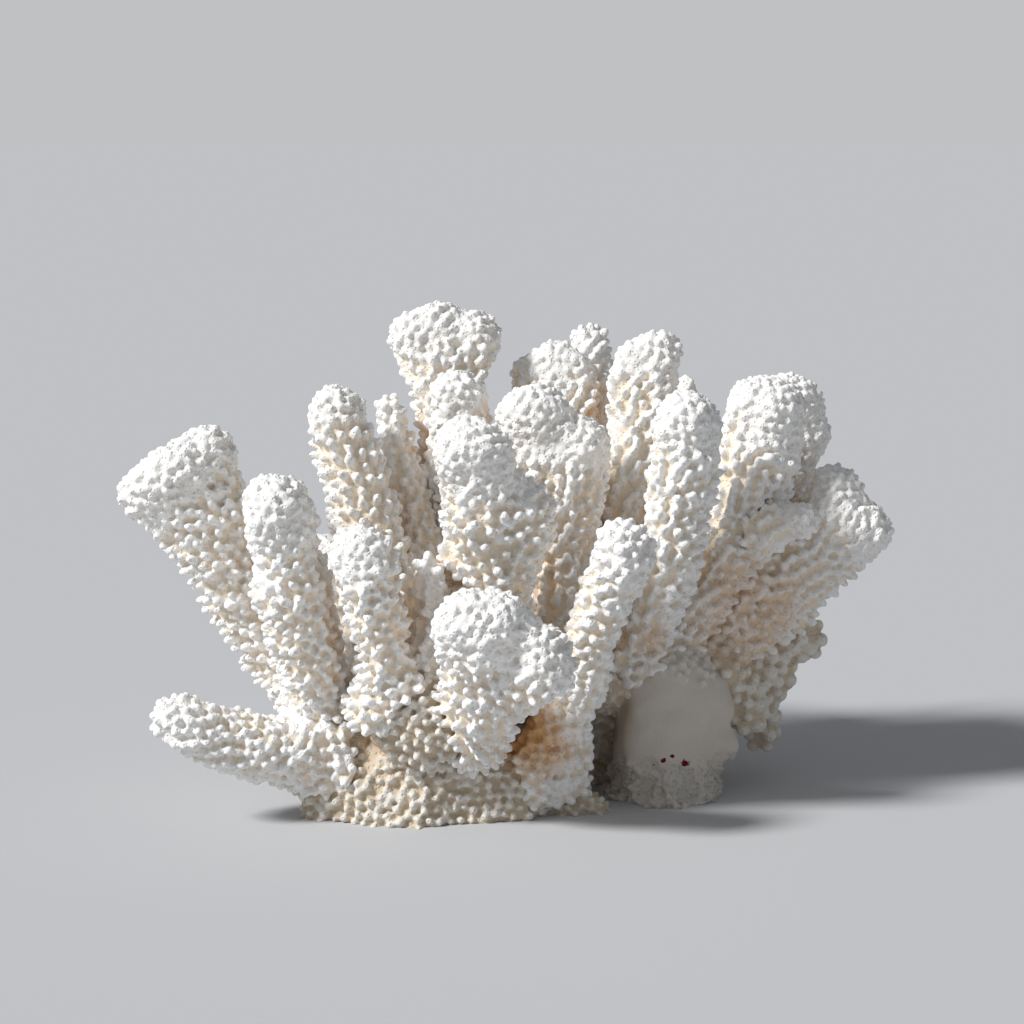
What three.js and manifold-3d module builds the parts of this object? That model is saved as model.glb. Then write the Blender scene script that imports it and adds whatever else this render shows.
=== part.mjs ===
// A dried colony of branching coral, bleached white and cut flat where it stood on the reef.
// Millimetres, +Z up. The colony rests on its cuts in the plane z = 0, its growing tips fan out in X,
// and the origin is the bottom centre of its bounding box.
//
// Each piece is one limb of the colony between two forks. A limb is one or more lobes: a lobe is a closed
// lathed bud that is bent along a spine and flattened into an ellipse, as wide as the reach of its warts.
// Pieces are listed from the root outwards, and each is cut back from the pieces listed before it.

import * as THREE from 'three';
import { mergeVertices } from 'three/addons/utils/BufferGeometryUtils.js';
import Module from 'manifold-3d';

const FORK_GAP = 0.3; // clearance between a limb and the one it grows from
const FLATNESS = 0.15; // facets closer to one plane than this are joined
const SIDES = 9; // facets round a lobe
const ROOT_CAP = 4; // length of the rounding at a lobe's root
const TIP_CAP = 11; // length of the rounding at a growing tip
const ROOT_RINGS = 2;
const TIP_RINGS = 3;
const STEM_STEP = 30; // spacing of the rings between the roundings
const TIP_POWER = 2.4; // 2 is a round tip, more is a blunter one
const GROUND_DEPTH = 60; // how much is cut away below z = 0
const GROUND_SPAN = 400;

const WHITE = { color: 0xf3f1ec, roughness: 0.85 };
const CREAM = { color: 0xe9dcc4, roughness: 0.85 };
const CHALK = { color: 0xd9d2c6, roughness: 0.9 };

// A lobe's spine runs from root to tip, and wide and thick are its half widths, spread evenly along it.
// wide lies across the spine as seen from the front, or as seen from above for a lobe that is lying.
// tip is the length of the rounding at the tip, where it differs from TIP_CAP.
const pieces = [
  {
    name: 'stump',
    finish: CHALK,
    lobes: [
      {
        spine: [[57, 0, -8], [58, 0, 8], [59, 2, 26], [61, 8, 54]],
        wide: [19.5, 20.5, 22, 24], thick: [27, 27, 26, 22],
      },
      {
        spine: [[68, -2, 33], [83, -4, 30]],
        wide: [7, 6], thick: [9, 7], tip: 5,
      },
      {
        spine: [[68, -4, 19], [85, -7, 18]],
        wide: [7, 6], thick: [10, 7], tip: 5,
      },
    ],
  },
  {
    name: 'crown',
    finish: CREAM,
    lobes: [
      {
        spine: [[-56, -14, 36], [-28, -8, 42], [6, 0, 44], [44, 8, 48]],
        wide: [15, 24, 28, 24], thick: [13, 18, 21, 19], lying: true,
      },
      {
        spine: [[20, 12, 34], [24, 20, 14], [24, 24, -6]],
        wide: [24, 23, 22], thick: [16, 14, 12],
      },
    ],
  },
  {
    name: 'foot',
    finish: CREAM,
    lobes: [
      {
        spine: [[-69, -30, 10], [-50, -34, 9], [-16, -33, 8], [14, -26, 6]],
        wide: [12, 19, 20, 12], thick: [12, 28, 28, 14], lying: true,
      },
      {
        spine: [[10, -28, 4], [35, -26, 2]],
        wide: [8, 7], thick: [7, 7], lying: true, tip: 4,
      },
    ],
  },
  {
    name: 'left_limb',
    finish: CREAM,
    lobes: [
      {
        spine: [[-40, -18, 28], [-60, -27, 27], [-74, -32, 33]],
        wide: [16, 17, 13], thick: [18, 16, 13],
      },
    ],
  },
  {
    name: 'front_limb',
    finish: CREAM,
    lobes: [
      {
        spine: [[-22, -14, 34], [-25, -40, 38], [-27, -61, 40]],
        wide: [22, 28, 24], thick: [14, 19, 17], lying: true,
      },
    ],
  },
  {
    name: 'back_limb',
    finish: CREAM,
    lobes: [
      {
        spine: [[4, 12, 40], [4, 36, 44], [2, 58, 50]],
        wide: [34, 36, 26], thick: [16, 18, 14], lying: true,
      },
    ],
  },
  {
    name: 'right_limb',
    finish: CREAM,
    lobes: [
      {
        spine: [[50, 6, 46], [68, 12, 43], [86, 16, 52]],
        wide: [14, 17, 17], thick: [18, 20, 17],
      },
      {
        spine: [[80, 12, 46], [87, 14, 34], [88, 12, 19]],
        wide: [9, 8.5, 7], thick: [10, 10, 8], tip: 6,
      },
      {
        spine: [[90, 22, 48], [97, 25, 34], [95, 24, 10]],
        wide: [9, 9, 5.5], thick: [8, 7, 5], tip: 4,
      },
      {
        spine: [[84, 18, 46], [96, 20, 41], [106, 20, 36]],
        wide: [10, 10, 8], thick: [10, 10, 8], tip: 6,
      },
      {
        spine: [[86, 20, 52], [104, 21, 51], [117, 21, 55]],
        wide: [10, 9, 8], thick: [10, 9, 8], tip: 6,
      },
    ],
  },
  // left side
  {
    name: 'left_paddle',
    finish: WHITE,
    lobes: [
      {
        spine: [[-66, -10, 32], [-84, -13, 60], [-98, -20, 86], [-111, -25, 107], [-123, -29, 127]],
        wide: [12, 13.5, 13, 18, 20], thick: [13, 13, 13, 13, 12],
      },
      {
        spine: [[-88, -14, 76], [-99, -19, 108], [-105, -22, 137]],
        wide: [11, 11, 11], thick: [12, 12, 10],
      },
    ],
  },
  {
    name: 'left_front_lobe',
    finish: WHITE,
    lobes: [
      {
        spine: [[-60, -22, 30], [-68, -38, 62], [-73, -50, 90], [-77, -57, 124]],
        wide: [11, 13, 13.5, 12], thick: [14, 17, 19, 15],
      },
    ],
  },
  {
    name: 'low_left_branch',
    finish: WHITE,
    lobes: [
      {
        spine: [[-58, -32, 20], [-73, -40, 21], [-90, -45, 27], [-105, -50, 34], [-121, -53, 41]],
        wide: [15, 13.5, 12, 10.5, 9], thick: [16, 15, 13, 12, 10], tip: 8,
      },
    ],
  },
  {
    name: 'tall_left_branch',
    finish: WHITE,
    lobes: [
      {
        spine: [[-34, -8, 50], [-45, -5, 84], [-53, -1, 113], [-58, 0, 129], [-61, 0, 147]],
        wide: [12, 13.5, 13, 12, 11.5], thick: [13, 14, 14, 13, 12],
      },
    ],
  },
  {
    name: 'slim_left_branch',
    finish: WHITE,
    lobes: [
      {
        spine: [[-24, 8, 52], [-29, 14, 84], [-36, 18, 114], [-41, 22, 131], [-43, 22, 142]],
        wide: [10, 10, 8.5, 6.5, 5.5], thick: [12, 12, 11, 9, 7], tip: 6,
      },
    ],
  },
  // front
  {
    name: 'front_paddle',
    finish: WHITE,
    lobes: [
      {
        spine: [[-8, -38, 26], [-7, -56, 42], [-5, -74, 62], [-9, -84, 87]],
        wide: [11, 14, 19, 16], thick: [13, 14, 14, 12],
      },
      {
        spine: [[-4, -58, 46], [8, -76, 60], [21, -84, 70]],
        wide: [13, 16, 13], thick: [13, 14, 12], tip: 9,
      },
    ],
  },
  {
    name: 'front_left_lobe',
    finish: WHITE,
    lobes: [
      {
        spine: [[-38, -42, 34], [-40, -50, 50], [-42, -56, 70], [-46, -61, 88], [-48, -63, 107]],
        wide: [12, 12, 10, 11.5, 11], thick: [14, 14, 12, 13, 12],
      },
    ],
  },
  {
    name: 'front_bud',
    finish: WHITE,
    lobes: [
      {
        spine: [[-22, -44, 46], [-25, -46, 66], [-26, -47, 80], [-25, -47, 96]],
        wide: [8, 7.5, 6.5, 6], thick: [10, 10, 9, 8], tip: 6,
      },
    ],
  },
  {
    name: 'front_right_branch',
    finish: WHITE,
    lobes: [
      {
        spine: [[20, -26, 4], [21, -29, 24], [25, -36, 46], [31, -43, 66], [38, -50, 86], [44, -57, 107]],
        wide: [10, 10, 9, 9.5, 11, 10.5], thick: [8, 10, 10, 12, 13, 12],
      },
      {
        spine: [[9, -30, 4], [11, -34, 24], [19, -36, 46]],
        wide: [7, 7.5, 6], thick: [9, 9, 9], tip: 5,
      },
    ],
  },
  // centre
  {
    name: 'centre_paddle',
    finish: WHITE,
    lobes: [
      {
        spine: [[-4, -22, 44], [-4, -32, 70], [-4, -40, 94], [-9, -47, 118], [-11, -52, 142]],
        wide: [13, 14, 16, 16, 13], thick: [15, 16, 16, 15, 13],
      },
      {
        spine: [[-2, -32, 74], [4, -41, 98], [9, -47, 119]],
        wide: [12, 14, 12], thick: [15, 15, 13],
      },
    ],
  },
  {
    name: 'centre_back_paddle',
    finish: WHITE,
    lobes: [
      {
        spine: [[20, -4, 52], [21, -4, 80], [17, -8, 108], [12, -10, 128], [10, -10, 150]],
        wide: [11, 12.5, 17, 16, 13], thick: [14, 14, 14, 14, 12],
      },
      {
        spine: [[20, -4, 84], [24, -8, 108], [28, -10, 138]],
        wide: [12, 14, 12], thick: [14, 14, 12],
      },
    ],
  },
  {
    name: 'tall_centre_fan',
    finish: WHITE,
    lobes: [
      {
        spine: [[-8, 8, 52], [-12, 18, 97], [-17, 27, 125], [-22, 33, 145], [-23, 37, 175]],
        wide: [10, 11, 14, 15, 10], thick: [12, 13, 13, 13, 12], tip: 9,
      },
      {
        spine: [[-22, 30, 138], [-30, 34, 154], [-38, 37, 170]],
        wide: [11, 11, 8], thick: [11, 12, 11], tip: 8,
      },
      {
        spine: [[-20, 30, 138], [-12, 35, 156], [-8, 37, 172]],
        wide: [11, 11, 9], thick: [11, 12, 11], tip: 8,
      },
    ],
  },
  {
    name: 'centre_knob',
    finish: WHITE,
    lobes: [
      {
        spine: [[-12, 8, 104], [-15, 6, 124], [-16, -1, 140], [-17, -5, 153]],
        wide: [9, 11, 12, 11], thick: [9, 11, 11, 10], tip: 8,
      },
    ],
  },
  {
    name: 'back_hump',
    finish: WHITE,
    lobes: [
      {
        spine: [[24, 20, 56], [25, 34, 114], [19, 42, 138], [11, 45, 158]],
        wide: [10, 12, 15, 14], thick: [12, 13, 12, 11], tip: 9,
      },
      {
        spine: [[24, 36, 124], [27, 44, 155]],
        wide: [10, 10], thick: [11, 10], tip: 8,
      },
    ],
  },
  {
    name: 'back_knob',
    finish: WHITE,
    lobes: [
      {
        spine: [[30, 40, 60], [36, 50, 110], [34, 55, 143], [31, 58, 165]],
        wide: [8, 8, 7.5, 8], thick: [9, 10, 9, 8], tip: 7,
      },
    ],
  },
  {
    name: 'centre_right_branch',
    finish: WHITE,
    lobes: [
      {
        spine: [[42, 10, 52], [45, 18, 100], [48, 24, 128], [54, 29, 148], [59, 30, 165]],
        wide: [9, 10, 12, 11, 9], thick: [12, 13, 13, 13, 11], tip: 9,
      },
      {
        spine: [[46, 24, 128], [46, 28, 161]],
        wide: [10, 7], thick: [11, 9], tip: 7,
      },
    ],
  },
  {
    name: 'hidden_back_branch',
    finish: WHITE,
    lobes: [
      {
        spine: [[50, 34, 56], [62, 48, 110], [67, 53, 134], [67, 54, 147]],
        wide: [8, 7.5, 6, 5], thick: [10, 9, 8, 7], tip: 6,
      },
    ],
  },
  // right side
  {
    name: 'right_lobe',
    finish: WHITE,
    lobes: [
      {
        spine: [[46, -2, 44], [54, -13, 72], [60, -21, 98], [63, -27, 122], [64, -30, 149]],
        wide: [10, 11, 12.5, 13.5, 11.5], thick: [12, 14, 15, 16, 13],
      },
      {
        spine: [[52, -10, 64], [44, -24, 59]],
        wide: [6, 5], thick: [6, 5], tip: 5,
      },
    ],
  },
  {
    name: 'right_tall_lobe',
    finish: WHITE,
    lobes: [
      {
        spine: [[54, 6, 46], [67, 8, 60], [80, 8, 82], [89, 6, 108], [94, 6, 132], [94, 5, 151]],
        wide: [10, 12, 13, 15, 16, 14.5], thick: [13, 14, 14, 14, 14, 12],
      },
    ],
  },
  {
    name: 'right_rim',
    finish: WHITE,
    lobes: [
      {
        spine: [[80, 22, 64], [92, 30, 92], [102, 36, 120], [106, 38, 149]],
        wide: [10, 12, 15, 14], thick: [11, 12, 12, 10],
      },
      {
        spine: [[100, 34, 110], [118, 38, 134]],
        wide: [11, 9], thick: [11, 9], tip: 8,
      },
    ],
  },
  {
    name: 'right_side_bud',
    finish: WHITE,
    lobes: [
      {
        spine: [[90, 2, 94], [99, -9, 99], [110, -17, 103]],
        wide: [7, 7.5, 7], thick: [9, 9, 8], tip: 6,
      },
    ],
  },
  {
    name: 'right_paddle',
    finish: WHITE,
    lobes: [
      {
        spine: [[70, 16, 44], [84, 18, 55], [101, 16, 71], [116, 12, 88], [132, 9, 106]],
        wide: [11, 14.5, 15.5, 18, 19], thick: [16, 16, 14, 12, 9],
      },
      {
        spine: [[100, 16, 72], [113, 14, 92], [123, 13, 117]],
        wide: [10, 11, 11], thick: [12, 11, 8], tip: 7,
      },
    ],
  },
  // behind
  {
    name: 'rear_left_lobe',
    finish: WHITE,
    lobes: [
      {
        spine: [[-20, 28, 46], [-34, 48, 72], [-44, 62, 100]],
        wide: [11, 13, 13], thick: [11, 12, 12],
      },
    ],
  },
  {
    name: 'rear_outer_left_lobe',
    finish: WHITE,
    lobes: [
      {
        spine: [[-40, 0, 36], [-58, 28, 58], [-74, 46, 86]],
        wide: [10, 12, 12], thick: [11, 12, 11],
      },
    ],
  },
  {
    name: 'rear_centre_lobe',
    finish: WHITE,
    lobes: [
      {
        spine: [[-2, 46, 52], [-4, 70, 80], [-5, 84, 112]],
        wide: [12, 15, 16], thick: [12, 12, 11],
      },
    ],
  },
  {
    name: 'rear_right_centre_lobe',
    finish: WHITE,
    lobes: [
      {
        spine: [[22, 44, 52], [32, 66, 80], [36, 80, 108]],
        wide: [11, 13, 13], thick: [12, 12, 11],
      },
    ],
  },
  {
    name: 'rear_right_lobe',
    finish: WHITE,
    lobes: [
      {
        spine: [[52, 30, 48], [64, 56, 76], [70, 72, 104]],
        wide: [11, 13, 13], thick: [12, 12, 11],
      },
    ],
  },
  {
    name: 'rear_outer_right_lobe',
    finish: WHITE,
    lobes: [
      {
        spine: [[70, 26, 46], [88, 48, 68], [98, 60, 90]],
        wide: [10, 12, 12], thick: [11, 12, 11],
      },
    ],
  },
  {
    name: 'rear_low_centre_lobe',
    finish: WHITE,
    lobes: [
      {
        spine: [[10, 48, 34], [14, 72, 42], [16, 88, 60]],
        wide: [10, 12, 11], thick: [10, 11, 10],
      },
    ],
  },
  {
    name: 'rear_low_left_lobe',
    finish: WHITE,
    lobes: [
      {
        spine: [[-22, 36, 34], [-38, 62, 44], [-44, 78, 64]],
        wide: [10, 12, 11], thick: [10, 11, 10],
      },
    ],
  },
  {
    name: 'rear_low_right_lobe',
    finish: WHITE,
    lobes: [
      {
        spine: [[58, 34, 36], [74, 58, 44], [84, 72, 62]],
        wide: [10, 12, 11], thick: [10, 11, 10],
      },
    ],
  },
  {
    name: 'rear_low_outer_lobe',
    finish: WHITE,
    lobes: [
      {
        spine: [[-36, 6, 26], [-56, 26, 30], [-72, 42, 48]],
        wide: [10, 11, 10], thick: [10, 11, 10],
      },
    ],
  },
];

const wasm = await Module();
wasm.setup();

// Value at t, from 0 to 1, of a list of numbers spread evenly along a lobe.
function along(values, t) {
  const at = t * (values.length - 1);
  const low = Math.min(Math.floor(at), values.length - 2);
  return THREE.MathUtils.lerp(values[low], values[low + 1], at - low);
}

// The bud's profile, from its root at height 0 to its tip: a radius of 1 between the two roundings.
function budProfile(length, tipCap) {
  const rootCap = Math.min(ROOT_CAP, length / 3);
  const tip = Math.min(tipCap, length / 2);
  const profile = [new THREE.Vector2(0, 0)];
  for (let i = 1; i <= ROOT_RINGS; i++) {
    const angle = (i / ROOT_RINGS) * (Math.PI / 2);
    profile.push(new THREE.Vector2(Math.sin(angle), rootCap * (1 - Math.cos(angle))));
  }
  const stem = length - rootCap - tip;
  const rings = Math.max(1, Math.round(stem / STEM_STEP));
  for (let i = 1; i <= rings; i++) profile.push(new THREE.Vector2(1, rootCap + (stem * i) / rings));
  for (let i = 1; i < TIP_RINGS; i++) {
    const angle = (i / TIP_RINGS) * (Math.PI / 2);
    const radius = Math.cos(angle) ** (2 / TIP_POWER);
    profile.push(new THREE.Vector2(radius, length - tip + tip * Math.sin(angle)));
  }
  profile.push(new THREE.Vector2(0, length));
  return profile;
}

// One lobe as a manifold solid, every surface moved out by grow.
function lobeSolid({ spine, wide, thick, lying = false, tip = TIP_CAP }, grow) {
  const curve = new THREE.CatmullRomCurve3(spine.map((p) => new THREE.Vector3(...p)), false, 'centripetal');
  const length = curve.getLength();
  const bud = new THREE.LatheGeometry(budProfile(length, tip), SIDES);
  const upright = lying ? new THREE.Vector3(0, 0, 1) : new THREE.Vector3(0, 1, 0);
  const position = bud.getAttribute('position');
  for (let i = 0; i < position.count; i++) {
    const share = THREE.MathUtils.clamp(position.getY(i) / length, 0, 1);
    const t = curve.getUtoTmapping(share);
    const tangent = curve.getTangent(t);
    const across = new THREE.Vector3().crossVectors(upright, tangent).normalize();
    const through = new THREE.Vector3().crossVectors(tangent, across);
    const point = curve
      .getPoint(t)
      .addScaledVector(tangent, (2 * share - 1) * grow)
      .addScaledVector(across, position.getX(i) * (along(wide, t) + grow))
      .addScaledVector(through, -position.getZ(i) * (along(thick, t) + grow));
    position.setXYZ(i, point.x, point.y, point.z);
  }
  return solidFrom(bud);
}

// A closed three.js geometry as a manifold solid that faces outwards.
function solidFrom(geometry) {
  geometry.deleteAttribute('normal');
  geometry.deleteAttribute('uv');
  const merged = mergeVertices(geometry, 1e-3);
  const triVerts = [];
  const index = merged.index.array;
  for (let i = 0; i < index.length; i += 3) {
    const [a, b, c] = index.slice(i, i + 3);
    if (a !== b && b !== c && c !== a) triVerts.push(a, b, c);
  }
  const make = () =>
    new wasm.Manifold(
      new wasm.Mesh({
        numProp: 3,
        vertProperties: merged.attributes.position.array,
        triVerts: new Uint32Array(triVerts),
      }),
    );
  const solid = make();
  if (solid.volume() > 0) return solid;
  triVerts.reverse();
  return make();
}

// All lobes of a piece in one solid.
function pieceSolid(piece, grow = 0) {
  return piece.lobes.map((lobe) => lobeSolid(lobe, grow)).reduce((whole, lobe) => whole.add(lobe));
}

// The largest of a solid's separate bodies.
function largestBody(solid) {
  return solid.decompose().reduce((best, body) => (body.volume() > best.volume() ? body : best));
}

function meshFrom(solid, name, finish) {
  const { numProp, vertProperties, triVerts } = solid.getMesh();
  const geometry = new THREE.BufferGeometry();
  const count = vertProperties.length / numProp;
  const position = new Float32Array(count * 3);
  for (let i = 0; i < count; i++) {
    position.set(vertProperties.subarray(i * numProp, i * numProp + 3), i * 3);
  }
  geometry.setAttribute('position', new THREE.BufferAttribute(position, 3));
  geometry.setIndex(new THREE.BufferAttribute(triVerts, 1));
  geometry.computeVertexNormals();
  const mesh = new THREE.Mesh(geometry, new THREE.MeshStandardMaterial({ ...finish, metalness: 0 }));
  mesh.name = name;
  return mesh;
}

const ground = solidFrom(
  new THREE.BoxGeometry(GROUND_SPAN, GROUND_SPAN, GROUND_DEPTH).translate(0, 0, -GROUND_DEPTH / 2),
);

const coral = new THREE.Group();
const grown = []; // each piece made so far, swollen by the fork gap
for (const piece of pieces) {
  let solid = pieceSolid(piece).subtract(ground);
  for (const neighbour of grown) solid = solid.subtract(neighbour);
  coral.add(meshFrom(largestBody(solid).simplify(FLATNESS), piece.name, piece.finish));
  grown.push(pieceSolid(piece, FORK_GAP));
}

const box = new THREE.Box3().setFromObject(coral);
const middle = box.getCenter(new THREE.Vector3());
coral.position.set(-middle.x, -middle.y, -box.min.z);

export default coral;
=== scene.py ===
import math
import time

import bmesh
import bpy
import numpy as np
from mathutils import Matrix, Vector, noise
from mathutils.bvhtree import BVHTree


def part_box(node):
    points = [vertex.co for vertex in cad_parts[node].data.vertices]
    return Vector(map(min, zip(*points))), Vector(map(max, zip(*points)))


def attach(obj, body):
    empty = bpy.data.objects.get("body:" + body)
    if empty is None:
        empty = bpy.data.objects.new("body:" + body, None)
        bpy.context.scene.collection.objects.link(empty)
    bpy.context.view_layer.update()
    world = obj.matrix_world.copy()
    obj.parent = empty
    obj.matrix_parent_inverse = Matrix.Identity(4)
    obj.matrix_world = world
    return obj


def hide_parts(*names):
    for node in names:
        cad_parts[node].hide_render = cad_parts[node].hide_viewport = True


started = time.time()
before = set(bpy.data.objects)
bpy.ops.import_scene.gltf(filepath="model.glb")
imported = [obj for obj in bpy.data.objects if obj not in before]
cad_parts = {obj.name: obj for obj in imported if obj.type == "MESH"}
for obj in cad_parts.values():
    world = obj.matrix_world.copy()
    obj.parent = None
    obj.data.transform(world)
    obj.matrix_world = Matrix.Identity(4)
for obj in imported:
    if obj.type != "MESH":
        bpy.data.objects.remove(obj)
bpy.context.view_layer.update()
mm = 0.001


def report(stage):
    print(f"{stage}: {time.time() - started:.0f} s")


# A limb takes these values unless it names its own below.
limbDefaults = {
    "slot": "white_aragonite",
    "wartSpacing": 3.8,  # mm between neighbouring warts on the stem
    "wartRadius": 1.65,
    "wartLength": 4.6,  # half the length of a wart, much of it sunk in the stem
    "wartLean": 0.45,  # 0 stands straight out, 1 lies along the growth
    "wartShare": 1.0,  # below 1 leaves bare skeleton between the warts
    "budSpacing": 2.8,  # mm between the low buds on a growing tip
    "budRadius": 1.55,
    "budLength": 2.2,
    "smoothTip": 10.0,  # mm of white growing tip
    "budding": 1.0,  # share of the tip's warts that are small buds
    "stemDepth": 2.8,  # how far the stem lies under the reach of the warts
    "tipDepth": 1.8,
    "swell": 2.1,  # slow unevenness of the stem
    "stemSmooth": 4,  # rounds of smoothing
    "wartsFrom": -30.0,  # mm above the cut where the warts begin
    "brokenBelow": 0.0,  # mm above the cut where the skeleton is broken and ragged
    "voxel": 0.72,  # mm, the finest detail of the surface
    "keep": 0.5,  # share of the faces left by the last thinning
}

# What some limbs have in common.
base = {"slot": "cream_aragonite", "smoothTip": 0.0}
knobby = {"wartSpacing": 3.4, "wartRadius": 1.5, "wartLength": 2.8, "wartLean": 0.35, "stemDepth": 1.6}
rear = {"voxel": 0.95, "keep": 0.42}
nubby = {
    "budding": 0.0, "wartSpacing": 3.3, "wartRadius": 1.7, "wartLength": 3.2, "wartLean": 0.35,
    "stemDepth": 2.3,
}

# Every limb, from the base outwards.
limbs = {
    "stump": {
        **base, **knobby, "slot": "chalky_aragonite", "wartSpacing": 3.0, "wartLength": 2.2, "wartLean": 0.1,
        "wartsFrom": 41.0, "stemDepth": 0.6, "stemSmooth": 12, "swell": 2.4, "brokenBelow": 15.0, "keep": 0.7,
    },
    "crown": {**base, **knobby, "voxel": 0.9},
    "foot": {**base, **knobby},
    "left_limb": {**base, **knobby, "wartShare": 0.35, "wartRadius": 1.3, "wartLength": 2.0},
    "front_limb": {**base, **knobby, "wartLength": 3.6, "stemDepth": 2.0},
    "back_limb": {**base, **rear},
    "right_limb": {
        **base, **knobby, "wartSpacing": 4.6, "wartRadius": 2.4, "wartLean": 0.15, "stemDepth": 0.8,
        "swell": 1.2,
    },
    "left_paddle": {"smoothTip": 16.0},
    "left_front_lobe": {"smoothTip": 14.0},
    "low_left_branch": nubby,
    "tall_left_branch": {"smoothTip": 3.0, "wartLength": 4.8, "wartSpacing": 4.2, "wartRadius": 1.75},
    "slim_left_branch": nubby,
    "front_paddle": {"smoothTip": 8.0},
    "front_left_lobe": {"smoothTip": 4.0},
    "front_bud": nubby,
    "front_right_branch": nubby,
    "centre_paddle": {"smoothTip": 16.0},
    "centre_back_paddle": {"smoothTip": 20.0},
    "tall_centre_fan": {"smoothTip": 14.0},
    "centre_knob": {"smoothTip": 12.0},
    "back_hump": {"smoothTip": 8.0},
    "back_knob": nubby,
    "centre_right_branch": {"smoothTip": 12.0},
    "hidden_back_branch": {**rear, "smoothTip": 4.0},
    "right_lobe": {"smoothTip": 14.0, "wartLength": 5.0, "wartLean": 0.5},
    "right_tall_lobe": {"smoothTip": 22.0, "wartLean": 0.38},
    "right_rim": {"smoothTip": 18.0},
    "right_side_bud": {"smoothTip": 4.0},
    "right_paddle": {"smoothTip": 12.0, "wartLean": 0.25, "wartLength": 4.0},
    "rear_left_lobe": rear,
    "rear_outer_left_lobe": rear,
    "rear_centre_lobe": rear,
    "rear_right_centre_lobe": rear,
    "rear_right_lobe": rear,
    "rear_outer_right_lobe": rear,
    "rear_low_centre_lobe": rear,
    "rear_low_left_lobe": rear,
    "rear_low_right_lobe": rear,
    "rear_low_outer_lobe": rear,
}

# What the whole colony shares.
colony = {
    "heart": (0.0, 5.0, 12.0),  # mm, the point that every limb grows away from
    "forkGap": 1.3,  # mm, faces closer than this to an earlier limb are where the limb grows out of it
    "forkSink": 5.0,  # how far a limb is sunk into the one it grows from
    "stemVoxel": 1.7,  # mm
    "sunk": 0.8,  # mm under another limb's stem where warts are no longer seen
    "swellScale": 14.0,  # mm between the swellings of a stem
    # The recess mark, the share of rays that neighbouring limbs block, paints shade and dust into the colour.
    "recessReach": 40.0,  # mm, neighbours nearer than this close a recess in
    "recessSpokes": (
        (1, 0, 0), (-1, 0, 0), (0, 1, 0), (0, -1, 0), (0, 0, 1), (0, 0, -1), (1, 1, 1), (-1, -1, 1),
    ),
    "recessStart": 5.0,  # mm above the stem, clear of the limb's own warts
    # mm, ochre patches: centre, radius and strength. The one at (7, -34, 28) is a painted glow of light
    # through a thin ridge edge, the one at (84, 0, 66) painted warm shade on the right side.
    "ochrePatches": (
        ((7, -34, 28), 20, 1.0), ((51, -20, 58), 9, 0.8), ((84, 0, 66), 30, 0.35), ((34, -6, 62), 18, 0.5),
        ((-14, 2, 66), 20, 0.45),
    ),
    # mm, smooth patches without warts: centre and radius
    "bare": (((16, -96, 66), 10), ((-49, -46, 27), 12)),
}


def addNode(tree, kind, inputs=None, **settings):
    # An input is a number, a socket, or a node that gives its first output.
    node = tree.nodes.new(kind)
    for key, value in settings.items():
        setattr(node, key, value)
    for key, value in (inputs or {}).items():
        if isinstance(value, bpy.types.Node):
            tree.links.new(value.outputs[0], node.inputs[key])
        elif isinstance(value, bpy.types.NodeSocket):
            tree.links.new(value, node.inputs[key])
        else:
            node.inputs[key].default_value = value
    return node


def linear(code):
    parts = [int(code[i:i + 2], 16) / 255 for i in (1, 3, 5)]
    return [c / 12.92 if c <= 0.04045 else ((c + 0.055) / 1.055) ** 2.4 for c in parts] + [1.0]


def smoothstep(low, high, x):
    t = np.clip((x - low) / (high - low), 0, 1)
    return t * t * (3 - 2 * t)


def newObject(name, data):
    obj = bpy.data.objects.new(name, data)
    bpy.context.scene.collection.objects.link(obj)
    return obj


def bake(obj):
    # The object with its modifiers as a plain mesh.
    graph = bpy.context.evaluated_depsgraph_get()
    whole = obj.evaluated_get(graph)
    return bpy.data.meshes.new_from_object(whole, preserve_all_data_layers=True, depsgraph=graph)


def remeshed(mesh, voxel, smooth=0, keep=1.0):
    obj = newObject("work", mesh)
    remesh = obj.modifiers.new("remesh", "REMESH")
    remesh.mode = "VOXEL"
    remesh.voxel_size = voxel * mm
    remesh.use_smooth_shade = True
    if smooth:
        soften = obj.modifiers.new("soften", "SMOOTH")
        soften.factor = 0.5
        soften.iterations = smooth
    if keep < 1:
        thin = obj.modifiers.new("thin", "DECIMATE")
        thin.ratio = keep
    made = bake(obj)
    bpy.data.objects.remove(obj)
    return made


def arrays(mesh):
    co = np.zeros(len(mesh.vertices) * 3, np.float32)
    no = np.zeros(len(mesh.vertices) * 3, np.float32)
    mesh.vertices.foreach_get("co", co)
    mesh.vertex_normals.foreach_get("vector", no)
    edges = np.zeros(len(mesh.edges) * 2, np.int32)
    mesh.edges.foreach_get("vertices", edges)
    return co.reshape(-1, 3), no.reshape(-1, 3), edges.reshape(-1, 2)


def spreadOut(values, edges, rounds):
    # Each round moves a vertex's value half way to its neighbours' mean.
    count = np.bincount(edges.ravel(), minlength=len(values)).clip(1)
    for _ in range(rounds):
        total = np.bincount(edges[:, 0], values[edges[:, 1]], len(values))
        total += np.bincount(edges[:, 1], values[edges[:, 0]], len(values))
        values = 0.5 * values + 0.5 * total / count
    return values


def cadMesh(name):
    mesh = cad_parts[name].data.copy()
    mesh.materials.clear()
    bm = bmesh.new()
    bm.from_mesh(mesh)
    bmesh.ops.remove_doubles(bm, verts=bm.verts, dist=0.01 * mm)
    bm.to_mesh(mesh)
    bm.free()
    return mesh


def treeOf(meshes):
    points, faces = [], []
    for mesh in meshes:
        start = len(points)
        points += [v.co.copy() for v in mesh.vertices]
        faces += [[start + i for i in p.vertices] for p in mesh.polygons]
    return BVHTree.FromPolygons(points, faces) if faces else None


def growthAt(co):
    away = co - np.array(colony["heart"]) * mm
    reach = np.linalg.norm(away, axis=1)
    return away / reach[:, None], reach / mm


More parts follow.
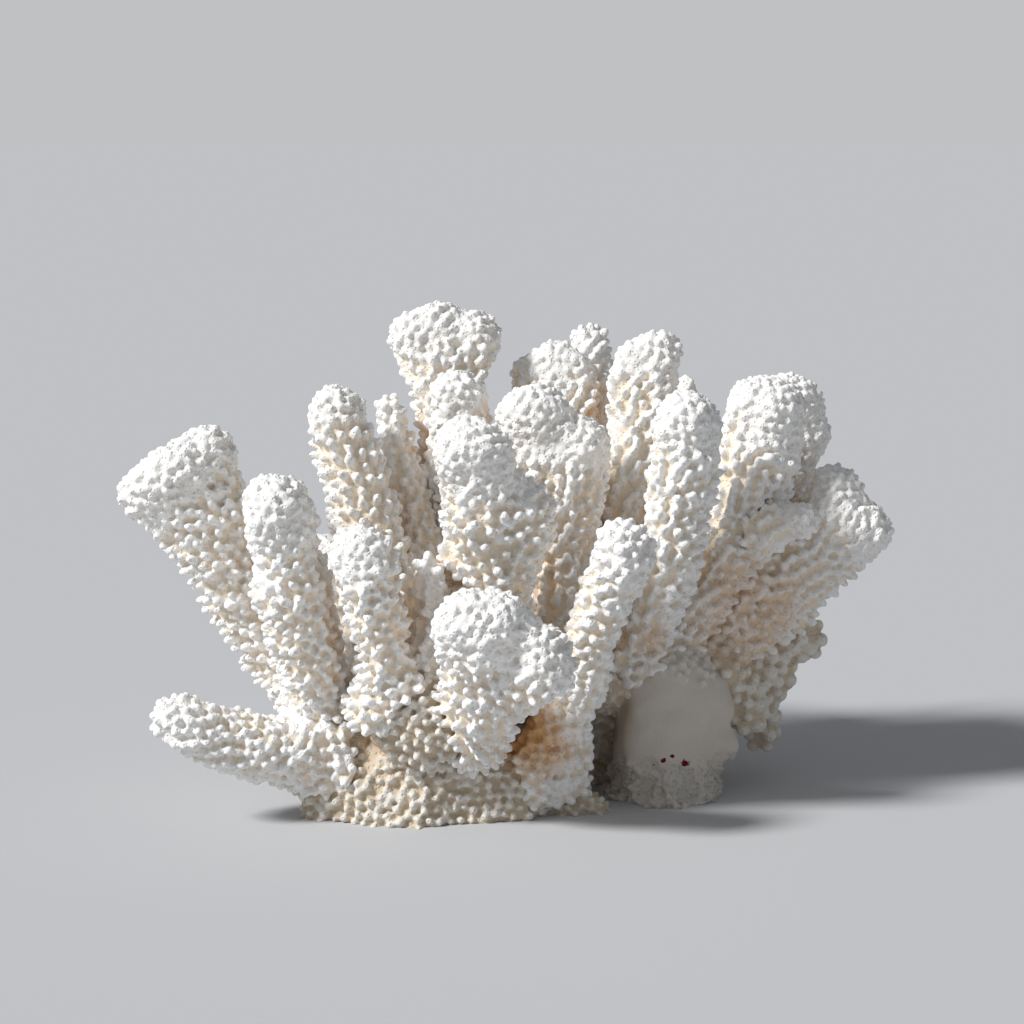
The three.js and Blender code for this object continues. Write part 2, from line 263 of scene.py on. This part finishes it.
def tipShare(co, no, edges, limb):
    # 1 on a limb's growing tip, 0 down its stem.
    if not limb["smoothTip"]:
        return np.zeros(len(co))
    growth, reach = growthAt(co)
    end = np.percentile(reach, 99.7)
    byReach = smoothstep(end - limb["smoothTip"] - 14, end - limb["smoothTip"] * 0.4, reach)
    facing = (no * growth).sum(1)
    byFacing = smoothstep(0.4, 0.95, spreadOut(facing, edges, 12)) * smoothstep(end - 45, end - 25, reach)
    return np.maximum(byReach, byFacing)


def swellBy(mesh, limb):
    co, no, _ = arrays(mesh)
    scale = colony["swellScale"] * mm
    wave = [noise.noise(Vector(p) / scale) + 0.35 * noise.noise(Vector(p) / (scale * 0.45)) for p in co]
    co = co + no * (np.array(wave) * limb["swell"] * mm)[:, None]
    mesh.vertices.foreach_set("co", co.ravel().astype(np.float32))
    mesh.update()


def makeStem(name, limb, solids):
    names = list(solids)
    earlier = treeOf([solids[n] for n in names[:names.index(name)]])
    mesh = remeshed(solids[name].copy(), colony["stemVoxel"], smooth=2)
    co, no, edges = arrays(mesh)
    fork = np.zeros(len(co))
    if earlier:
        near = colony["forkGap"] * mm
        fork = np.array([1.0 if earlier.find_nearest(Vector(p), near)[0] else 0.0 for p in co])
    fork = np.maximum(fork, (co[:, 2] < 1.0 * mm) * 1.0)  # the flat cut is trimmed later
    fork = spreadOut(fork, edges, 3)
    tip = tipShare(co, no, edges, limb) * limb["budding"]
    depth = limb["stemDepth"] * (1 - tip) + limb["tipDepth"] * tip
    move = fork * colony["forkSink"] - (1 - fork) * depth
    co = co + no * (move * mm)[:, None]
    mesh.vertices.foreach_set("co", co.ravel().astype(np.float32))
    mesh.update()
    stem = remeshed(mesh, colony["stemVoxel"], smooth=limb["stemSmooth"])
    swellBy(stem, limb)
    return stem


def storeValues(mesh, name, values):
    kind = "FLOAT_VECTOR" if values.ndim == 2 else "FLOAT"
    attribute = mesh.attributes.new(name, kind, "POINT")
    field = "vector" if kind == "FLOAT_VECTOR" else "value"
    attribute.data.foreach_set(field, values.astype(np.float32).ravel())


def isSunk(point, out, stems):
    # Whether a point lies inside another limb's stem.
    for tree, low, high in stems:
        if all(low[k] < point[k] < high[k] for k in range(3)):
            normal = tree.ray_cast(point, out)[1]
            isInside = normal is not None and normal.dot(out) > 0
            if isInside and tree.find_nearest(point)[3] > colony["sunk"] * mm:
                return True
    return False


def markStem(mesh, name, limb, solids, stemTrees):
    co, no, edges = arrays(mesh)
    growth, reach = growthAt(co)
    tip = tipShare(co, no, edges, limb)
    others = treeOf([m for n, m in solids.items() if n != name])
    otherStems = [t for n, t in stemTrees.items() if n != name]
    hidden = np.zeros(len(co))
    recess = np.zeros(len(co))
    spokes = [Vector(v).normalized() for v in colony["recessSpokes"]]
    for i, p in enumerate(co):
        p, out = Vector(p), Vector(no[i])
        if isSunk(p, out, otherStems):
            hidden[i] = 1
            continue
        # Painted shade: the more rays neighbouring limbs block here, the more the colour turns to the recess
        # colour, for shade and warm bounced light together with dust.
        start = p + out * colony["recessStart"] * mm
        aims = [(out + spoke * 0.9).normalized() for spoke in spokes]
        hits = [others.ray_cast(start, aim, colony["recessReach"] * mm)[0] for aim in aims]
        recess[i] = sum(hit is not None for hit in hits) / len(spokes)
    recess = spreadOut(recess, edges, 6)
    storeValues(mesh, "growth", growth)
    storeValues(mesh, "tip", tip)
    storeValues(mesh, "budding", tip * limb["budding"])
    storeValues(mesh, "recess", recess)
    low = limb["wartsFrom"]
    share = (1 - hidden) * limb["wartShare"] * smoothstep(low, low + 8, co[:, 2] / mm)
    for centre, radius in colony["bare"]:
        share = share * (1 - nearness(co / mm, centre, radius))
    storeValues(mesh, "open", share)


# The inputs of the wart tree, the limb value that each takes, and its unit.
wartInputs = (
    ("Wart Spacing", "wartSpacing", mm), ("Wart Radius", "wartRadius", mm), ("Wart Length", "wartLength", mm),
    ("Wart Lean", "wartLean", 1), ("Bud Spacing", "budSpacing", mm), ("Bud Radius", "budRadius", mm),
    ("Bud Length", "budLength", mm),
)
wartShape = {
    "warts": (0.45, 0.75, 1.0, 0.0),  # from and to this share of budding, how much of the warts is left
    "buds": (0.2, 0.5, 0.0, 1.0),
    "blunt": 0.6,  # 1 is a plain egg, less has straighter sides and a rounder end
    "shorter": 0.5,  # how much shorter the warts become towards a tip
    "budLean": 0.3,
    "stray": 0.14,
    "size": (0.82, 1.18),
    "length": (0.8, 1.2),
    "density": 4.0e6,  # to the square metre, more than the spacing lets through
}


def scatterWarts(tree, given, growth, spacing, radius, length, lean, share, seedStep):
    # Blunt eggs on the stem, leaning along its growth.
    shape = wartShape
    seed = addNode(tree, "ShaderNodeMath", {0: given["Seed"], 1: float(seedStep)}, operation="ADD")
    points = addNode(
        tree, "GeometryNodeDistributePointsOnFaces",
        {"Mesh": given["Geometry"], "Distance Min": spacing, "Density Max": shape["density"],
         "Density Factor": share, "Seed": seed},
        distribute_method="POISSON",
    )

    along = addNode(tree, "ShaderNodeVectorMath", {0: growth, "Scale": lean}, operation="SCALE")
    rest = addNode(tree, "ShaderNodeMath", {0: 1.0, 1: lean}, operation="SUBTRACT")
    normal = points.outputs["Normal"]
    out = addNode(tree, "ShaderNodeVectorMath", {0: normal, "Scale": rest}, operation="SCALE")
    aim = addNode(tree, "ShaderNodeVectorMath", {0: along, 1: out}, operation="ADD")
    stray = addNode(
        tree, "FunctionNodeRandomValue", {0: (-shape["stray"],) * 3, 1: (shape["stray"],) * 3, "Seed": seed},
        data_type="FLOAT_VECTOR",
    )
    aim = addNode(tree, "ShaderNodeVectorMath", {0: aim, 1: stray}, operation="ADD")
    turn = addNode(tree, "FunctionNodeAlignRotationToVector", {"Vector": aim}, axis="Z")

    uneven = []
    for half, (low, high), drawn in ((radius, shape["size"], seed), (length, shape["length"], given["Seed"])):
        share = addNode(tree, "FunctionNodeRandomValue", {2: low, 3: high, "Seed": drawn}, data_type="FLOAT")
        uneven.append(addNode(tree, "ShaderNodeMath", {0: half, 1: share.outputs[1]}, operation="MULTIPLY"))
    wide, tall = uneven
    scale = addNode(tree, "ShaderNodeCombineXYZ", {0: wide, 1: wide, 2: tall})

    # an egg with its middle pushed towards its ends
    ball = addNode(tree, "GeometryNodeMeshIcoSphere", {"Radius": 1.0, "Subdivisions": 2})
    spot = addNode(tree, "ShaderNodeSeparateXYZ", {0: tree.nodes.new("GeometryNodeInputPosition")}).outputs
    height = addNode(tree, "ShaderNodeMath", {0: spot[2]}, operation="ABSOLUTE")
    pushed = addNode(tree, "ShaderNodeMath", {0: height, 1: shape["blunt"]}, operation="POWER")
    side = addNode(tree, "ShaderNodeMath", {0: spot[2]}, operation="SIGN")
    end = addNode(tree, "ShaderNodeMath", {0: pushed, 1: side}, operation="MULTIPLY")
    blunt = addNode(tree, "ShaderNodeCombineXYZ", {0: spot[0], 1: spot[1], 2: end})
    egg = addNode(tree, "GeometryNodeSetPosition", {"Geometry": ball, "Position": blunt})

    eggs = addNode(
        tree, "GeometryNodeInstanceOnPoints",
        {"Points": points.outputs["Points"], "Instance": egg, "Rotation": turn, "Scale": scale},
    )
    return addNode(tree, "GeometryNodeRealizeInstances", {"Geometry": eggs})


def makeWartTree():
    tree = bpy.data.node_groups.new("coralWarts", "GeometryNodeTree")
    face = tree.interface
    face.new_socket("Geometry", in_out="INPUT", socket_type="NodeSocketGeometry")
    for label, _, _ in wartInputs:
        face.new_socket(label, in_out="INPUT", socket_type="NodeSocketFloat")
    face.new_socket("Seed", in_out="INPUT", socket_type="NodeSocketInt")
    face.new_socket("Material", in_out="INPUT", socket_type="NodeSocketMaterial")
    face.new_socket("Geometry", in_out="OUTPUT", socket_type="NodeSocketGeometry")
    given = tree.nodes.new("NodeGroupInput").outputs

    growth, budding, isOpen = (
        addNode(tree, "GeometryNodeInputNamedAttribute", {"Name": label}, data_type=kind)
        for label, kind in (("growth", "FLOAT_VECTOR"), ("budding", "FLOAT"), ("open", "FLOAT"))
    )
    shares = {}
    for kind in ("warts", "buds"):
        low, high, fromShare, toShare = wartShape[kind]
        share = addNode(
            tree, "ShaderNodeMapRange",
            {"Value": budding, "From Min": low, "From Max": high, "To Min": fromShare, "To Max": toShare},
        )
        shares[kind] = addNode(tree, "ShaderNodeMath", {0: share, 1: isOpen}, operation="MULTIPLY")
    shorter = addNode(
        tree, "ShaderNodeMath", {0: budding, 1: -wartShape["shorter"], 2: 1.0}, operation="MULTIPLY_ADD",
    )
    wartLength = addNode(tree, "ShaderNodeMath", {0: given["Wart Length"], 1: shorter}, operation="MULTIPLY")

    warts = scatterWarts(
        tree, given, growth, given["Wart Spacing"], given["Wart Radius"], wartLength, given["Wart Lean"],
        shares["warts"], 0,
    )
    buds = scatterWarts(
        tree, given, growth, given["Bud Spacing"], given["Bud Radius"], given["Bud Length"],
        wartShape["budLean"], shares["buds"], 7,
    )
    join = tree.nodes.new("GeometryNodeJoinGeometry")
    for part in (given["Geometry"], warts.outputs[0], buds.outputs[0]):
        tree.links.new(part, join.inputs[0])
    coated = addNode(tree, "GeometryNodeSetMaterial", {"Geometry": join, "Material": given["Material"]})
    addNode(tree, "NodeGroupOutput", {0: coated})
    return tree


def socketId(tree, label):
    return next(s.identifier for s in tree.interface.items_tree if s.name == label and s.in_out == "INPUT")


def makeMarkTree():
    # Marks how high each point of the finished surface stands over the stem, and the stem's own marks there.
    tree = bpy.data.node_groups.new("coralMarks", "GeometryNodeTree")
    face = tree.interface
    face.new_socket("Geometry", in_out="INPUT", socket_type="NodeSocketGeometry")
    face.new_socket("Stem", in_out="INPUT", socket_type="NodeSocketObject")
    face.new_socket("Geometry", in_out="OUTPUT", socket_type="NodeSocketGeometry")
    given = tree.nodes.new("NodeGroupInput").outputs
    stem = addNode(tree, "GeometryNodeObjectInfo", {"Object": given["Stem"]}).outputs["Geometry"]
    near = addNode(tree, "GeometryNodeProximity", {"Geometry": stem}, target_element="FACES").outputs
    marks = {"rise": addNode(tree, "ShaderNodeMath", {0: near["Distance"], 1: 1 / mm}, operation="MULTIPLY")}
    for label in ("tip", "recess"):
        own = addNode(tree, "GeometryNodeInputNamedAttribute", {"Name": label}, data_type="FLOAT")
        marks[label] = addNode(
            tree, "GeometryNodeSampleNearestSurface", {"Mesh": stem, "Value": own}, data_type="FLOAT",
        )
    flow = given["Geometry"]
    for label, value in marks.items():
        flow = addNode(
            tree, "GeometryNodeStoreNamedAttribute", {"Geometry": flow, "Name": label, "Value": value},
            data_type="FLOAT", domain="POINT",
        )
    addNode(tree, "NodeGroupOutput", {0: flow})
    return tree


def dropCrumbs(mesh):
    # Keeps the largest connected part only.
    bm = bmesh.new()
    bm.from_mesh(mesh)
    bm.verts.ensure_lookup_table()
    island = {}
    sizes = []
    for first in bm.verts:
        if first in island:
            continue
        island[first] = len(sizes)
        queue = [first]
        count = 0
        while queue:
            vert = queue.pop()
            count += 1
            for edge in vert.link_edges:
                other = edge.other_vert(vert)
                if other not in island:
                    island[other] = len(sizes)
                    queue.append(other)
        sizes.append(count)
    main = sizes.index(max(sizes))
    crumbs = [v for v in bm.verts if island[v] != main]
    if crumbs:
        bmesh.ops.delete(bm, geom=crumbs, context="VERTS")
        bm.to_mesh(mesh)
    bm.free()


rubble = {"coarse": 5.0, "fine": 2.2, "height": 3.2, "worn": 0.8}  # mm


def breakUp(mesh, top):
    # The skeleton below top (mm) is broken: crumbly lumps with pits between them.
    co, no, _ = arrays(mesh)
    share = smoothstep(top + 3, top - 5, co[:, 2] / mm)
    coarse, fine = rubble["coarse"] * mm, rubble["fine"] * mm
    lumps = np.array([noise.noise(Vector(p) / coarse) + 0.7 * noise.noise(Vector(p) / fine) for p in co])
    co = co + no * (share * (lumps * rubble["height"] - rubble["worn"]) * mm)[:, None]
    mesh.vertices.foreach_set("co", co.ravel().astype(np.float32))
    mesh.update()


def nearness(co, centre, radius):
    # 1 in the middle of a patch, 0 outside it
    away = np.linalg.norm(co - np.array(centre), axis=1)
    return smoothstep(radius, radius * 0.35, away)


def markOchrePatches(mesh):
    # Ochre patches, partly painted: a painted glow at the ridge and painted warm shade on the right side.
    co = arrays(mesh)[0] / mm
    ochrePatch = np.zeros(len(co))
    for centre, radius, strength in colony["ochrePatches"]:
        ochrePatch = np.maximum(ochrePatch, strength * nearness(co, centre, radius))
    storeValues(mesh, "ochrePatch", ochrePatch)


def trimAtGround(mesh):
    bm = bmesh.new()
    bm.from_mesh(mesh)
    geometry = bm.verts[:] + bm.edges[:] + bm.faces[:]
    bmesh.ops.bisect_plane(
        bm, geom=geometry, dist=0.001 * mm, plane_co=(0, 0, 0), plane_no=(0, 0, -1), clear_outer=True,
    )
    rim = [e for e in bm.edges if e.is_boundary]
    if rim:
        filled = bmesh.ops.holes_fill(bm, edges=rim, sides=0)
        bmesh.ops.triangulate(bm, faces=filled["faces"])
        bmesh.ops.recalc_face_normals(bm, faces=bm.faces[:])
    bm.to_mesh(mesh)
    bm.free()


def growLimb(name, limb, stemMesh, seed, wartTree, markTree, material):
    stem = newObject(name + ".stem", stemMesh)
    scatter = stem.modifiers.new("warts", "NODES")
    scatter.node_group = wartTree
    for label, key, unit in wartInputs:
        scatter[socketId(wartTree, label)] = limb[key] * unit
    scatter[socketId(wartTree, "Seed")] = seed
    scatter[socketId(wartTree, "Material")] = material
    warty = bake(stem)
    stem.modifiers.clear()
    surface = remeshed(warty, limb["voxel"], smooth=1, keep=limb["keep"])
    dropCrumbs(surface)
    if limb["brokenBelow"]:
        breakUp(surface, limb["brokenBelow"])
    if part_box(name)[0].z < 6 * mm:
        trimAtGround(surface)
    work = newObject("work", surface)
    marks = work.modifiers.new("marks", "NODES")
    marks.node_group = markTree
    marks[socketId(markTree, "Stem")] = stem
    finished = bake(work)
    bpy.data.objects.remove(work)
    bpy.data.objects.remove(stem)
    markOchrePatches(finished)
    finished.materials.clear()
    finished.materials.append(material)
    finished.shade_smooth()
    return newObject(name + ".coral", finished)


# Bleached aragonite, the coral's own skeleton, grown in layers: dry, matt and finely pitted. It is brilliant
# white where it grew last. Between the warts and between the limbs it turns cream to ochre: painted shade and
# painted warm bounced light, together with dust. The limbs at the base take a darker, creamier copy.
aragonite = {
    "white_aragonite": {
        "crest": "#FAF9F7", "hollowShadeAndDust": "#F4E8D6", "recess": "#EAC69B", "ochrePatch": "#DCA766", "pits": 0.8,
    },
    "cream_aragonite": {
        "crest": "#E6E1D8", "hollowShadeAndDust": "#D2C3AD", "recess": "#C49C70", "ochrePatch": "#CD9A5C", "pits": 0.8,
    },
    "chalky_aragonite": {
        "crest": "#D9D5CE", "hollowShadeAndDust": "#D3CCC2", "recess": "#B09C86", "ochrePatch": "#B98552", "pits": 0.25,
    },
}
skeleton = {
    "cupSpacing": 1.4,  # mm between the polyp cups
    "grain": 0.7,  # mm, coarser than the real grain so that it shows
    "pitDepth": 0.4,  # mm
    "patch": 22.0,  # mm, of the patchiness of the recess tint and the ochre patches
    "roughness": 0.95,
    "ior": 1.53,  # aragonite
    "specular": 0.2,  # porous, so it shines less than a polished stone
    "broken": (10.0, 20.0),  # mm above the cut, where the broken stump goes from fully pitted to worn
}
# Flecks of a dark red encrusting animal on the front of the broken stump.
redFlecks = {
    "on": "chalky_aragonite",
    "colour": "#6A1418",
    # mm, the x, z and size of each
    "places": ((61.0, 15.5, 1.7), (53.5, 17.0, 1.1), (56.5, 18.5, 0.8), (50.0, 15.0, 0.8)),
    "front": -27.0,  # mm, their y
    "depth": 0.12,  # the part of a distance in y that counts, so that a fleck follows the surface in
    "grain": 1.6,  # mm, of a fleck's ragged edge
}


def addFlecks(tree, place, colour):
    ragged = addNode(
        tree, "ShaderNodeTexNoise", {"Vector": place, "Scale": 1 / (redFlecks["grain"] * mm), "Detail": 2.0},
    )
    depth = redFlecks["depth"]
    front = addNode(tree, "ShaderNodeVectorMath", {0: place, 1: (1, depth, 1)}, operation="MULTIPLY")
    for x, z, size in redFlecks["places"]:
        spot = (x * mm, depth * redFlecks["front"] * mm, z * mm)
        gap = addNode(tree, "ShaderNodeVectorMath", {0: front, 1: spot}, operation="DISTANCE")
        reach = addNode(tree, "ShaderNodeMath", {0: ragged, 1: 2 * size * mm}, operation="MULTIPLY")
        edge = addNode(tree, "ShaderNodeMath", {0: gap.outputs["Value"], 1: reach}, operation="DIVIDE")
        fleck = addNode(
            tree, "ShaderNodeMapRange",
            {"Value": edge, "From Min": 0.7, "From Max": 1.0, "To Min": 1.0, "To Max": 0.0},
            interpolation_type="SMOOTHSTEP",
        )
        red = linear(redFlecks["colour"])
        colour = addNode(tree, "ShaderNodeMix", {0: fleck, 6: colour, 7: red}, data_type="RGBA").outputs[2]
    return colour


def aragoniteMaterial(name, look):
    material = bpy.data.materials.new(name)
    material.use_nodes = True
    tree = material.node_tree
    tree.nodes.clear()
    place = addNode(tree, "ShaderNodeTexCoord").outputs["Object"]
    rise, tip, recess, ochrePatch = (
        addNode(tree, "ShaderNodeAttribute", attribute_name=label).outputs["Fac"]
        for label in ("rise", "tip", "recess", "ochrePatch")
    )
    patch, grain = (
        addNode(tree, "ShaderNodeTexNoise", {"Vector": place, "Scale": 1 / (size * mm), "Detail": 3.0})
        for size in (skeleton["patch"], skeleton["grain"])
    )
    cupScale = 1 / (skeleton["cupSpacing"] * mm)
    cups = addNode(tree, "ShaderNodeTexVoronoi", {"Vector": place, "Scale": cupScale})

    # each goes smoothly from its first share to its second, between two values of a mark or a pattern
    shares = {}
    for label, value, low, high, fromShare, toShare in (
        ("low", rise, 0.2, 2.4, 1.0, 0.0),
        ("old", tip, 0.0, 1.0, 1.0, 0.2),
        ("deep", recess, 0.45, 1.0, 0.0, 1.0),
        ("patchyRecessTint", patch, 0.2, 0.6, 0.0, 1.0),
        ("patchyOchre", patch, 0.25, 0.55, 0.0, 0.85),
        ("pit", cups, 0.1, 0.45, 0.0, 1.0),
    ):
        shares[label] = addNode(
            tree, "ShaderNodeMapRange",
            {"Value": value, "From Min": low, "From Max": high, "To Min": fromShare, "To Max": toShare},
            interpolation_type="SMOOTHSTEP",
        )

    # Painted shade: the low places between the warts take the hollow colour, standing in for shade and warm
    # bounced light together with dust; growing tips take less of it.
    down = addNode(tree, "ShaderNodeMath", {0: shares["low"], 1: shares["old"]}, operation="MULTIPLY")
    # Painted shade: closed-in places, their crests too, turn towards the recess colour for shade and warm
    # bounced light together with dust, unevenly by the patch pattern.
    closed = addNode(tree, "ShaderNodeMath", {0: shares["deep"], 1: shares["patchyRecessTint"]}, operation="MULTIPLY")
    warm = addNode(tree, "ShaderNodeMath", {0: closed, 1: 0.45}, operation="MULTIPLY")
    # Ochre patches, partly painted: the ridge patch is a painted glow of light through a thin edge, the right
    # one painted warm shade.
    ochreShare = addNode(tree, "ShaderNodeMath", {0: ochrePatch, 1: shares["patchyOchre"]}, operation="MULTIPLY")
    crest, hollowShadeAndDust, deep, ochreColour = (linear(look[key]) for key in ("crest", "hollowShadeAndDust", "recess", "ochrePatch"))
    hollowShadeAndDust = addNode(tree, "ShaderNodeMix", {0: closed, 6: hollowShadeAndDust, 7: deep}, data_type="RGBA").outputs[2]
    crest = addNode(tree, "ShaderNodeMix", {0: warm, 6: crest, 7: deep}, data_type="RGBA").outputs[2]
    colour = addNode(tree, "ShaderNodeMix", {0: down, 6: crest, 7: hollowShadeAndDust}, data_type="RGBA").outputs[2]
    colour = addNode(tree, "ShaderNodeMix", {0: ochreShare, 6: colour, 7: ochreColour}, data_type="RGBA").outputs[2]
    strength = look["pits"]
    if name == redFlecks["on"]:
        colour = addFlecks(tree, place, colour)
        low, high = skeleton["broken"]
        strength = addNode(
            tree, "ShaderNodeMapRange",
            {"Value": addNode(tree, "ShaderNodeSeparateXYZ", {0: place}).outputs["Z"],
             "From Min": low * mm, "From Max": high * mm, "To Min": 1.0, "To Max": look["pits"]},
            interpolation_type="SMOOTHSTEP",
        )

    # polyp cups, and the grain of the skeleton between them
    relief = addNode(tree, "ShaderNodeMath", {0: grain, 1: 0.5, 2: shares["pit"]}, operation="MULTIPLY_ADD")
    bump = addNode(
        tree, "ShaderNodeBump",
        {"Height": relief, "Strength": strength, "Distance": skeleton["pitDepth"] * mm},
    )
    shader = addNode(
        tree, "ShaderNodeBsdfPrincipled",
        {"Base Color": colour, "Roughness": skeleton["roughness"], "IOR": skeleton["ior"],
         "Specular IOR Level": skeleton["specular"], "Normal": bump},
    )
    addNode(tree, "ShaderNodeOutputMaterial", {"Surface": shader})
    return material


view = {
    "target": (0.0, 0.6, 102.0),  # mm
    "distance": 1000.0,
    "elevation": 8.0,
    "lens": 98.4,
}


def makeCamera():
    camera = newObject("camera", bpy.data.cameras.new("camera"))
    tilt = math.radians(view["elevation"])
    back = Vector((0, -math.cos(tilt), math.sin(tilt)))
    camera.location = (Vector(view["target"]) + back * view["distance"]) * mm
    camera.rotation_euler = (-back).to_track_quat("-Z", "Y").to_euler()
    camera.data.lens = view["lens"]
    camera.data.clip_start = 0.01
    bpy.context.scene.camera = camera


studio = {
    "keyFrom": (-0.95, -0.45, 0.88),
    "keySoftness": 11.0,  # degrees across
    "keyStrength": 3.55,
    "floor": "#C4C5C7",
    "floorSize": 60.0,  # metres
    "sky": "#D6DAE0",
    "skyStrength": 0.33,
    "backdrop": 0.953,  # brightness above the horizon
}


def makeStudio():
    sun = bpy.data.lights.new("key", "SUN")
    sun.energy = studio["keyStrength"]
    sun.angle = math.radians(studio["keySoftness"])
    key = newObject("key", sun)
    key.rotation_euler = (-Vector(studio["keyFrom"])).to_track_quat("-Z", "Y").to_euler()

    world = bpy.context.scene.world or bpy.data.worlds.new("studio")
    bpy.context.scene.world = world
    world.use_nodes = True
    tree = world.node_tree
    tree.nodes.clear()
    sky, seen = (
        addNode(tree, "ShaderNodeBackground", {"Color": linear(studio[colour]), "Strength": studio[strength]})
        for colour, strength in (("sky", "skyStrength"), ("floor", "backdrop"))
    )
    isSeen = addNode(tree, "ShaderNodeLightPath").outputs["Is Camera Ray"]
    both = addNode(tree, "ShaderNodeMixShader", {0: isSeen, 1: sky, 2: seen})
    addNode(tree, "ShaderNodeOutputWorld", {"Surface": both})
    bpy.context.scene.view_settings.view_transform = "Standard"

    bpy.ops.mesh.primitive_plane_add(size=studio["floorSize"])
    floor = bpy.context.active_object
    floor.name = "floor"
    paper = bpy.data.materials.new("pale paper backdrop")
    paper.use_nodes = True
    sheet = paper.node_tree.nodes["Principled BSDF"].inputs
    sheet["Base Color"].default_value = linear(studio["floor"])
    sheet["Roughness"].default_value = 1.0
    sheet["Specular IOR Level"].default_value = 0.0
    floor.data.materials.append(paper)


makeCamera()
makeStudio()
report("camera, lights and floor")

materials = {name: aragoniteMaterial(name, look) for name, look in aragonite.items()}
solids = {name: cadMesh(name) for name in limbs}
wartTree = makeWartTree()
markTree = makeMarkTree()
grown = {name: {**limbDefaults, **own} for name, own in limbs.items()}
stems = {name: makeStem(name, limb, solids) for name, limb in grown.items()}
stemTrees = {}
for name, mesh in stems.items():
    co = arrays(mesh)[0]
    stemTrees[name] = (treeOf([mesh]), co.min(axis=0), co.max(axis=0))
report("stems")
for seed, (name, limb) in enumerate(grown.items()):
    markStem(stems[name], name, limb, solids, stemTrees)
    piece = growLimb(name, limb, stems[name], seed, wartTree, markTree, materials[limb["slot"]])
    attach(piece, "root")
    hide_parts(name)
    piece.data.calc_loop_triangles()
    report(f"{name}, {len(piece.data.loop_triangles)} triangles")
